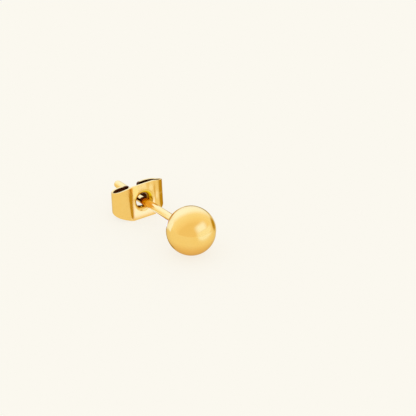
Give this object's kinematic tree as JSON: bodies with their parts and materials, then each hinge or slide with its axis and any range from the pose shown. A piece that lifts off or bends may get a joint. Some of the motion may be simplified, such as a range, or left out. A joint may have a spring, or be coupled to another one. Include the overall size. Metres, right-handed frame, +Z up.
{
  "type": "ball stud earring",
  "caption": "Polished gold ball soldered to a straight ear post, with a folded butterfly clutch that slides along the post; it lies on its ball and the clutch's edge.",
  "frame": {"origin": "on the surface that the earring lies on, below the middle of its length", "axes": "+Y from the ball toward the post's tip, +Z up, X across the clutch, whose two loops mirror each other about X = 0; the post dips 3.93 degrees toward its tip"},
  "size_m": [0.0058, 0.0164, 0.005],
  "materials": {
    "stud_gold": "mirror-polished yellow gold",
    "clutch_gold": "bright rolled and stamped yellow gold sheet"
  },
  "bodies": {
    "stud": {"ball_stud": "stud_gold"},
    "clutch": {"butterfly_clutch": "clutch_gold"}
  },
  "joints": [
    {"name": "clutch_slide", "type": "slide", "parent": "stud", "child": "clutch", "axis": [0, 0.9976, -0.0685], "range_m": [-0.00625, 0.00555]}
  ]
}
